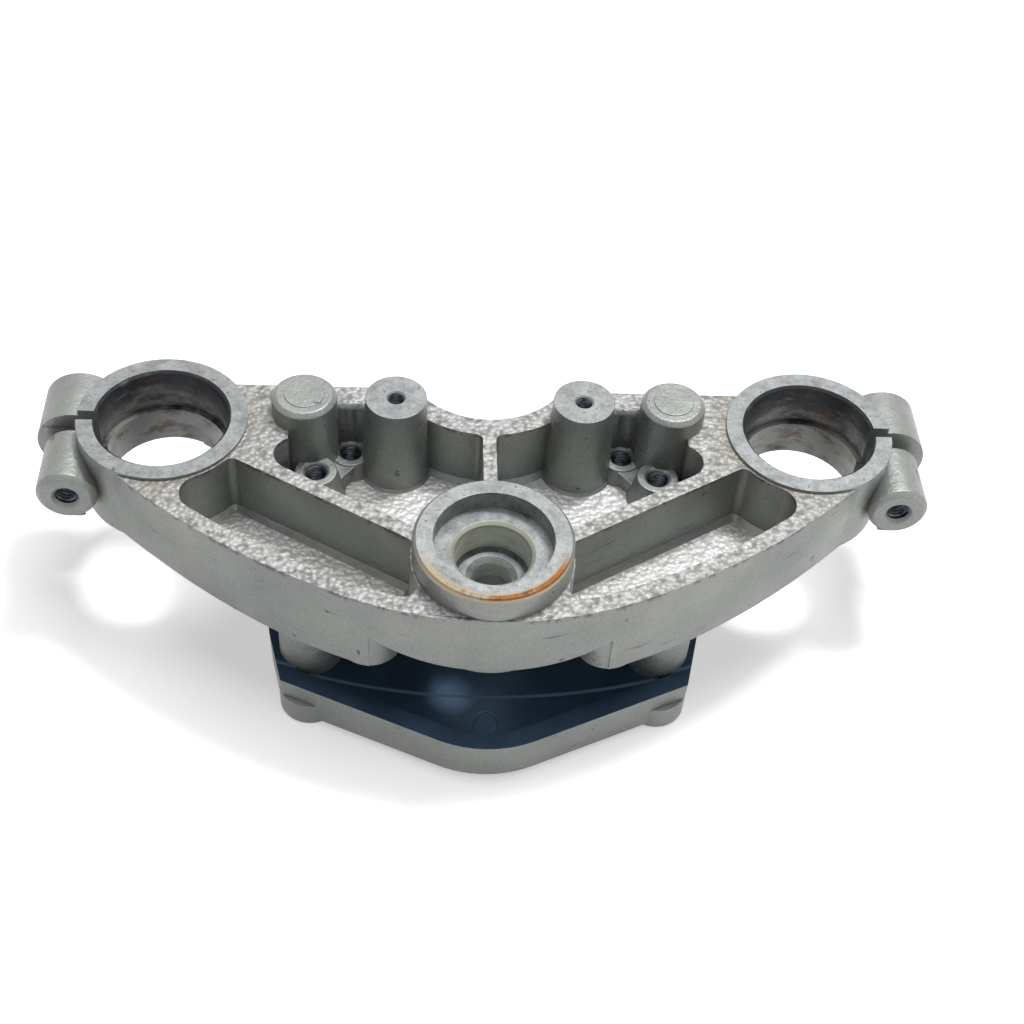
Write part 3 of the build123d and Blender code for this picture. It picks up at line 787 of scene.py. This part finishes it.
@dataclass
class Casting:
    """The fork bridge's skin: a merged copy of the CAD solid with rounded edges and finishes.

    Lengths are in millimetres and angles in degrees. The radii and heights tell the kinds of
    surface apart; margin is how far past its size a face may reach.
    """

    fork_axis: tuple[float, float] = FORK_AXIS
    collar_r: float = 26.6
    fork_bore_r: float = 20.5
    fork_bore_wall: float = 1.2
    boss_r: float = 23.9
    boss_top_z: float = 7.7
    seat_depth: float = 6.5
    seat_r: float = 18.2
    stem_bore_r: float = 12.9
    stem_end_z: float = -17.0
    ledge_z: float = -11.0
    ledge_slack: float = 0.3
    ledge_rise: float = 2.0
    post: tuple[float, float] = INNER_POST
    post_r: float = 9.7
    cast_top_z: float = CAST_TOP
    crinkle_top_z: float = 2.0
    floor_z: float = -24.0
    platform_z: float = -50.5
    pan_depth: float = 4.0
    ear_x: float = EAR_START
    margin: float = 1.0
    level_share: float = 0.9
    cast_round: float = 0.4
    cut_round: float = 0.15
    sharp_angle: float = 25.0
    crease_angle: float = 32.0
    tapped: list[TappedHole] = field(default_factory=lambda: Threads().holes())
    finishes: list = field(default_factory=lambda: [
        SatinCasting(), CrinkledCasting(), MachinedFace(), WornShadedBore(), GreyGreenBore(),
        PanInPaintedShade(), CutThread(),
    ])

    def machined_levels(self) -> list[Level]:
        """List the machined faces on the right half; the left half mirrors them."""
        return [
            Level(*self.fork_axis, 0.0, self.collar_r + self.margin),
            Level(0.0, 0.0, self.boss_top_z, self.boss_r + self.margin),
            Level(0.0, 0.0, self.boss_top_z - self.seat_depth, self.boss_r),
            Level(*self.post, self.boss_top_z, self.post_r + self.margin),
        ]

    def surface_of(self, face: bmesh.types.BMFace, levels: list[Level]) -> Surface:
        """Name the kind of surface a face belongs to.

        Args:
            face: The face, in metres.
            levels: The machined levels.

        Returns:
            The kind of surface.
        """
        centre = face.calc_center_median() / MM
        corners = [vert.co / MM for vert in face.verts]
        if any(level.holds(corners) for level in levels):
            return Surface.MACHINED
        if any(all(hole.holds(corner) for corner in corners) for hole in self.tapped):
            return Surface.TAPPED
        fork_x, fork_y = self.fork_axis
        fork = max(math.hypot(abs(co.x) - fork_x, co.y - fork_y) for co in corners)
        if fork < self.fork_bore_r + self.fork_bore_wall:
            return Surface.FORK_BORE
        stem = max(math.hypot(co.x, co.y) for co in corners)
        if stem < self.seat_r and centre.z > self.stem_end_z:
            low = min(corner.z for corner in corners)
            high = max(corner.z for corner in corners)
            ledge = low > self.ledge_z - self.ledge_slack and high < self.ledge_z + self.ledge_rise
            bore = stem < self.stem_bore_r and not ledge
            return Surface.STEM_BORE if bore else Surface.MACHINED
        if face.normal.z <= self.level_share:
            return Surface.SATIN
        if self.platform_z - self.pan_depth < centre.z < self.platform_z + self.margin:
            return Surface.PAN
        if abs(centre.x) < self.ear_x and centre.z > self.floor_z - self.margin:
            top = self.cast_top_z - self.margin < centre.z < self.crinkle_top_z
            floor = centre.z < self.floor_z + self.margin
            return Surface.CRINKLED if top or floor else Surface.SATIN
        return Surface.SATIN

    def sharp_edges(self, mesh: bmesh.types.BMesh, cut: bool) -> list[bmesh.types.BMEdge]:
        """Choose the convex edges to round.

        Args:
            mesh: The casting.
            cut: True for edges of machined faces, False for cast edges.

        Returns:
            The sharp edges of that kind.
        """
        limit = math.radians(self.sharp_angle)
        chosen = []
        for edge in mesh.edges:
            if len(edge.link_faces) != 2 or not edge.is_convex:
                continue
            if edge.calc_face_angle(0.0) < limit:
                continue
            touches = any(face.material_index in CUT_SLOTS for face in edge.link_faces)
            if touches == cut:
                chosen.append(edge)
        return chosen

    def chains(self, edges: list[bmesh.types.BMEdge]) -> list[list[bmesh.types.BMEdge]]:
        """Sort edges into groups that share corners.

        Args:
            edges: The edges.

        Returns:
            The groups.
        """
        left = set(edges)
        groups = []
        for first in edges:
            if first not in left:
                continue
            left.discard(first)
            group, queue = [first], [first]
            while queue:
                for vert in queue.pop().verts:
                    for other in vert.link_edges:
                        if other in left:
                            left.discard(other)
                            group.append(other)
                            queue.append(other)
            groups.append(group)
        return groups

    def round_edges(self, mesh: bmesh.types.BMesh, cut: bool, width_mm: float) -> None:
        """Round one kind of edges, one chain at a time so that each is clamped on its own.

        Args:
            mesh: The casting.
            cut: True for edges of machined faces, False for cast edges.
            width_mm: The rounding's width, in millimetres.
        """
        for group in self.chains(self.sharp_edges(mesh, cut)):
            bmesh.ops.bevel(
                mesh, geom=[edge for edge in group if edge.is_valid], offset=width_mm * MM,
                offset_type="OFFSET", segments=2, profile=0.5, affect="EDGES",
                clamp_overlap=True, material=-1,
            )

    def weigh_normals(self, data: bpy.types.Mesh) -> None:
        """Let each corner's normal follow the larger faces round it, up to a crease.

        Args:
            data: The finished mesh.
        """
        around: dict[int, list[bpy.types.MeshPolygon]] = {}
        for face in data.polygons:
            for index in face.vertices:
                around.setdefault(index, []).append(face)
        crease = math.cos(math.radians(self.crease_angle))
        normals = []
        for face in data.polygons:
            for index in face.vertices:
                total = Vector()
                for other in around[index]:
                    if other.normal.dot(face.normal) > crease:
                        total += other.normal * other.area
                normals.append(total.normalized() if total.length > 0 else face.normal.copy())
        data.normals_split_custom_set(normals)

    def build(self) -> bpy.types.Object:
        """Build the dressed casting.

        Returns:
            The casting's object, which stands for the CAD node.
        """
        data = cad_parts[NODE].data.copy()
        data.name = "casting"
        mesh = bmesh.new()
        mesh.from_mesh(data)
        bmesh.ops.remove_doubles(mesh, verts=mesh.verts, dist=MERGE_DISTANCE)
        bmesh.ops.dissolve_degenerate(mesh, dist=SLIVER_LENGTH, edges=mesh.edges)
        bmesh.ops.dissolve_limit(mesh, angle_limit=FLAT_ANGLE, verts=mesh.verts,
                                 edges=mesh.edges)
        levels = self.machined_levels()
        for face in mesh.faces:
            face.material_index = self.surface_of(face, levels).value
            face.smooth = True
        self.round_edges(mesh, True, self.cut_round)
        self.round_edges(mesh, False, self.cast_round)
        data.materials.clear()
        for finish in self.finishes:
            data.materials.append(finish.build())
        mesh.to_mesh(data)
        mesh.free()
        self.weigh_normals(data)
        casting = bpy.data.objects.new("casting", data)
        bpy.context.scene.collection.objects.link(casting)
        return casting


@dataclass
class Studio:
    """The floor, the lamps, the world and the camera.

    The floor glows by floor_glow up to floor_near from the origin, and is white from floor_far.
    Each lamp's way points from the origin to it; its distance and size are in metres, its power
    in watts. The camera is turned by angles in degrees.
    """

    floor_gap_mm: float = 0.2
    floor_size: float = 6.0
    floor_glow: float = 0.45
    floor_near: float = 0.3
    floor_far: float = 0.8
    floor_shade: float = 0.9
    lens_mm: float = 58.0535
    sensor_mm: float = 36.0
    clip_start: float = 0.01
    camera_place_mm: tuple[float, float, float] = (-24.68, -317.08, 367.09)
    camera_turn: tuple[float, float, float] = (42.3411, -3.3519, -1.5836)
    sun_way: tuple[float, float, float] = (0.29, 0.31, 1.0)
    sun_distance: float = 1.6
    sun_size: float = 0.25
    sun_power: float = 14.0
    sky_strength: float = 0.12
    box_way: tuple[float, float, float] = (0.05, 0.22, 1.0)
    box_distance: float = 1.3
    box_size: float = 0.9
    box_power: float = 10.5
    fill_way: tuple[float, float, float] = (1.0, -0.55, 0.35)
    fill_distance: float = 1.5
    fill_size: float = 0.8
    fill_power: float = 1.5

    def floor(self) -> bpy.types.Object:
        """Build the white floor just under the feet.

        Returns:
            The floor's object.
        """
        mesh = bmesh.new()
        bmesh.ops.create_grid(mesh, x_segments=1, y_segments=1, size=self.floor_size / 2)
        height = CAD_BOX[0].z - self.floor_gap_mm * MM
        bmesh.ops.translate(mesh, verts=mesh.verts, vec=(0, 0, height))
        data = bpy.data.meshes.new("floor")
        mesh.to_mesh(data)
        mesh.free()
        material = bpy.data.materials.new("white floor")
        material.use_nodes = True
        tree = material.node_tree
        tree.nodes.clear()
        diffuse = tree.nodes.new("ShaderNodeBsdfDiffuse")
        diffuse.inputs["Color"].default_value = (*[self.floor_shade] * 3, 1)
        glow = tree.nodes.new("ShaderNodeEmission")
        both = tree.nodes.new("ShaderNodeAddShader")
        output = tree.nodes.new("ShaderNodeOutputMaterial")
        path = tree.nodes.new("ShaderNodeLightPath")
        seen = self.seen(tree, path)
        coords = tree.nodes.new("ShaderNodeTexCoord")
        reach = tree.nodes.new("ShaderNodeVectorMath")
        reach.operation = "LENGTH"
        tree.links.new(coords.outputs["Object"], reach.inputs[0])
        level = tree.nodes.new("ShaderNodeMapRange")
        level.inputs["From Min"].default_value = self.floor_near
        level.inputs["From Max"].default_value = self.floor_far
        level.inputs["To Min"].default_value = self.floor_glow
        level.inputs["To Max"].default_value = 1.0
        tree.links.new(reach.outputs["Value"], level.inputs["Value"])
        strength = tree.nodes.new("ShaderNodeMath")
        strength.operation = "MULTIPLY"
        tree.links.new(seen, strength.inputs[0])
        tree.links.new(level.outputs["Result"], strength.inputs[1])
        tree.links.new(strength.outputs["Value"], glow.inputs["Strength"])
        tree.links.new(diffuse.outputs["BSDF"], both.inputs[0])
        tree.links.new(glow.outputs["Emission"], both.inputs[1])
        tree.links.new(both.outputs["Shader"], output.inputs["Surface"])
        data.materials.append(material)
        floor = bpy.data.objects.new("floor", data)
        bpy.context.scene.collection.objects.link(floor)
        return floor

    def seen(self, tree: bpy.types.NodeTree, path: bpy.types.Node) -> bpy.types.NodeSocket:
        """Add the nodes that give 1 for camera, glossy and transmission rays, else 0.

        Args:
            tree: The node tree.
            path: Its Light Path node.

        Returns:
            The value.
        """
        total = path.outputs["Is Camera Ray"]
        for name in ("Is Glossy Ray", "Is Transmission Ray"):
            most = tree.nodes.new("ShaderNodeMath")
            most.operation = "MAXIMUM"
            tree.links.new(total, most.inputs[0])
            tree.links.new(path.outputs[name], most.inputs[1])
            total = most.outputs["Value"]
        return total

    def world(self) -> None:
        """Build the world: white where it is seen, a plain soft sky where it lights."""
        world = bpy.data.worlds.new("studio")
        world.use_nodes = True
        tree = world.node_tree
        background = tree.nodes["Background"]
        background.inputs["Color"].default_value = (1, 1, 1, 1)
        path = tree.nodes.new("ShaderNodeLightPath")
        strength = tree.nodes.new("ShaderNodeMapRange")
        strength.inputs["To Min"].default_value = self.sky_strength
        strength.inputs["To Max"].default_value = 1.0
        tree.links.new(self.seen(tree, path), strength.inputs["Value"])
        tree.links.new(strength.outputs["Result"], background.inputs["Strength"])
        bpy.context.scene.world = world

    def lamp(self, name: str, way: Vector, distance: float, size: float, power: float) -> None:
        """Add a square lamp that points at the casting.

        Args:
            name: The lamp's name.
            way: The direction from the casting to the lamp.
            distance: How far away it stands, in metres.
            size: Its edge in metres.
            power: Its power in watts.
        """
        data = bpy.data.lights.new(name, "AREA")
        data.size = size
        data.energy = power
        lamp = bpy.data.objects.new(name, data)
        lamp.location = way.normalized() * distance
        lamp.rotation_euler = way.to_track_quat("Z", "Y").to_euler()
        bpy.context.scene.collection.objects.link(lamp)

    def camera(self) -> None:
        """Place the camera where the photograph was taken."""
        data = bpy.data.cameras.new("camera")
        data.lens = self.lens_mm
        data.sensor_width = self.sensor_mm
        data.clip_start = self.clip_start
        camera = bpy.data.objects.new("camera", data)
        camera.location = Vector(self.camera_place_mm) * MM
        camera.rotation_euler = Euler([math.radians(turn) for turn in self.camera_turn], "XYZ")
        bpy.context.scene.collection.objects.link(camera)
        bpy.context.scene.camera = camera

    def build(self) -> None:
        """Set up the whole studio."""
        self.floor()
        self.world()
        self.lamp("key lamp", Vector(self.sun_way), self.sun_distance, self.sun_size,
                  self.sun_power)
        self.lamp("soft box", Vector(self.box_way), self.box_distance, self.box_size,
                  self.box_power)
        self.lamp("fill lamp", Vector(self.fill_way), self.fill_distance, self.fill_size,
                  self.fill_power)
        self.camera()
        bpy.context.scene.view_settings.view_transform = "Standard"


def keep_piece(piece: bpy.types.Object) -> None:
    """Let a finished piece ride with the casting's body and report it.

    Args:
        piece: The piece's object.
    """
    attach(piece, BODY)
    log.info("%s: %d faces", piece.name, len(piece.data.polygons))


def main() -> None:
    """Build the casting and the studio."""
    logging.basicConfig(level=logging.INFO)
    casting = Casting().build()
    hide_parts(NODE)
    keep_piece(casting)
    keep_piece(Threads().build())
    Studio().build()


if __name__ == "__main__":
    main()
